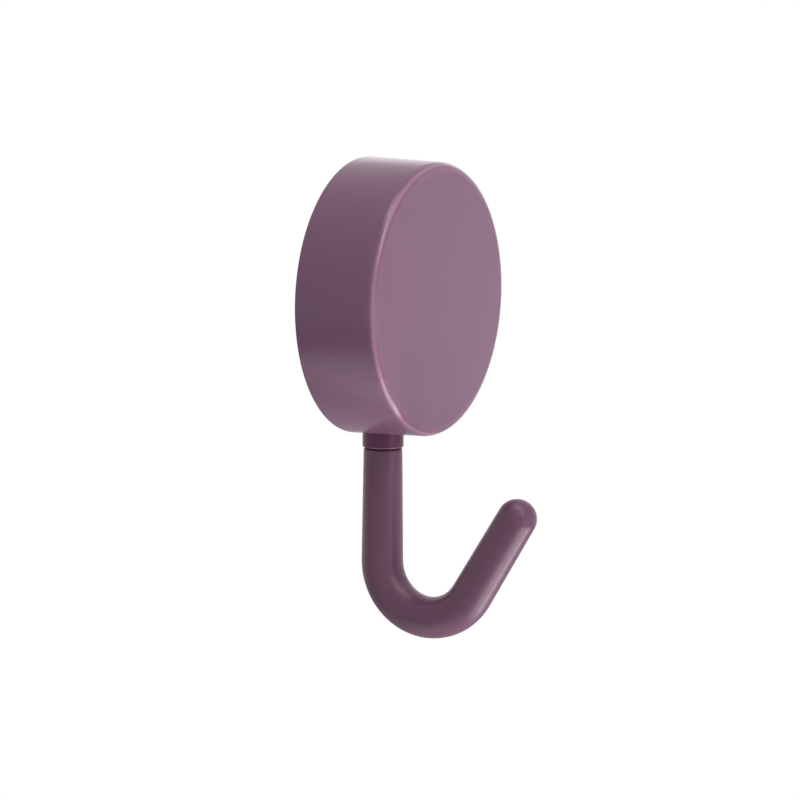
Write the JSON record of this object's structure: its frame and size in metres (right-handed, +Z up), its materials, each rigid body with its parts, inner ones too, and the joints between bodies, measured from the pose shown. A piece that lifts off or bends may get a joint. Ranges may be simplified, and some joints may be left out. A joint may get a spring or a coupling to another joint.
{
  "type": "adhesive wall hook",
  "caption": "Round adhesive wall hook: a drum-shaped head with a foam pad on its back, and a J hook of round rod that swivels in a collar under the head.",
  "frame": {"origin": "centre of the adhesive pad's wall face, with the wall as the plane y = 0", "axes": "+Y into the wall, so the head's face looks along -Y; +Z up, along the swivel axis; +X to the right of someone who faces the hook on the wall"},
  "size_m": [0.0386, 0.0284, 0.0668],
  "materials": {
    "head_plastic": "satin",
    "plate_plastic": "matte",
    "foam_tape": "matte",
    "collar_plastic": "satin",
    "hook_paint": "satin",
    "washer_plastic": "satin",
    "clip_steel": "satin",
    "screw_steel": "satin"
  },
  "bodies": {
    "housing": {"front_cover": "head_plastic", "base_plate": "plate_plastic", "adhesive_pad": "foam_tape", "swivel_bush": "collar_plastic", "cover_screw_top": "screw_steel", "cover_screw_left": "screw_steel", "cover_screw_right": "screw_steel"},
    "hook": {"hook": "hook_paint", "thrust_washer": "washer_plastic", "retaining_clip": "clip_steel"}
  },
  "joints": [
    {"name": "hook_swivel", "type": "hinge", "parent": "housing", "child": "hook", "pos_m": [0, -0.0044, -0.0212], "axis": [0, 0, 1], "range_deg": [-90, 90]}
  ]
}
